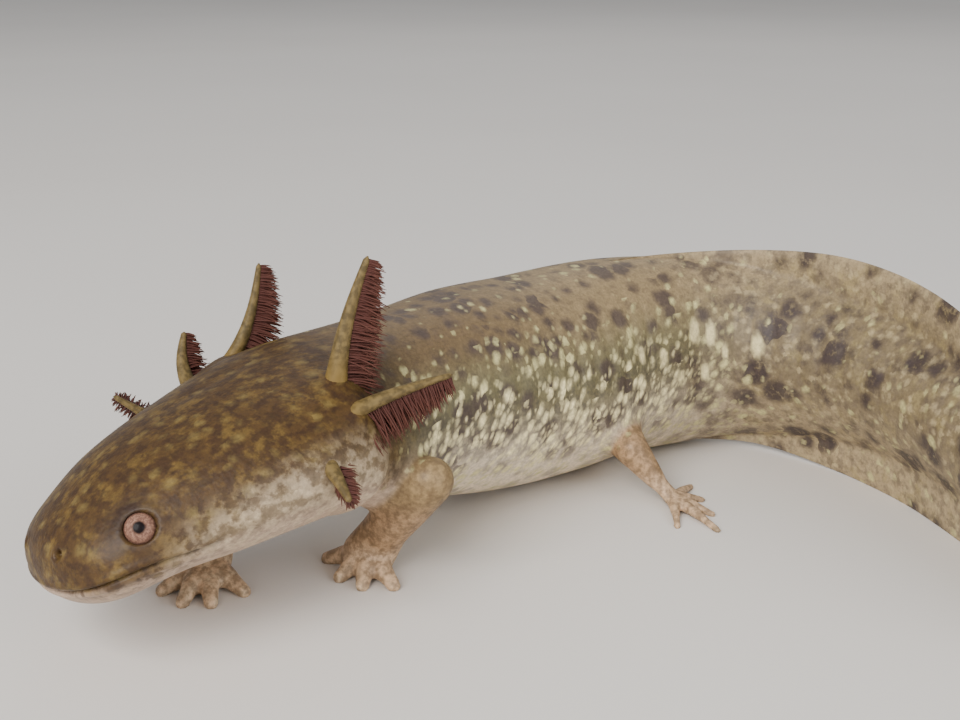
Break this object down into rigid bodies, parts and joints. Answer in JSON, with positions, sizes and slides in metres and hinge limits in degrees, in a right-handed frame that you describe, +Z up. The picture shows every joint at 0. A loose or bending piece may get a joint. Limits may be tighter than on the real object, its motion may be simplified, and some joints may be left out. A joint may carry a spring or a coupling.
{
  "type": "andersons salamander",
  "caption": "Gilled adult salamander as a still life-size model, head low, tail with a deep fin bent round.",
  "frame": {"origin": "middle of the model's box, on the floor it rests on", "axes": "+Z up; the head points to -X and -Y, the tail's root lies at +X and the tail bends to -Y"},
  "size_m": [0.1172, 0.1006, 0.0408],
  "materials": {
    "body_skin": "wet smooth skin, olive brown with cream flecks and slate spots",
    "tail_skin": "wet smooth skin, khaki with dark spots, thin at the fin's edges",
    "limb_skin": "wet smooth skin, tan brown",
    "gills": "wet soft stalks, olive, with dark maroon filaments",
    "eyes": "glossy, copper pink iris with a black pupil"
  },
  "bodies": {
    "root": {"belly": "body_skin", "chest": "body_skin", "eye_left": "eyes", "eye_right": "eyes", "front_left_forearm": "limb_skin", "front_left_hand": "limb_skin", "front_left_upper_arm": "limb_skin", "front_right_forearm": "limb_skin", "front_right_hand": "limb_skin", "front_right_upper_arm": "limb_skin", "gill_left_lower": "gills", "gill_left_middle": "gills", "gill_left_upper": "gills", "gill_right_lower": "gills", "gill_right_middle": "gills", "gill_right_upper": "gills", "head": "body_skin", "hind_left_foot": "limb_skin", "hind_left_shank": "limb_skin", "hind_left_thigh": "limb_skin", "hind_right_foot": "limb_skin", "hind_right_shank": "limb_skin", "hind_right_thigh": "limb_skin", "hips": "body_skin", "lower_jaw": "body_skin", "neck": "body_skin", "tail_base": "tail_skin", "tail_middle": "tail_skin", "tail_rear": "tail_skin", "tail_tip": "tail_skin"}
  },
  "joints": []
}
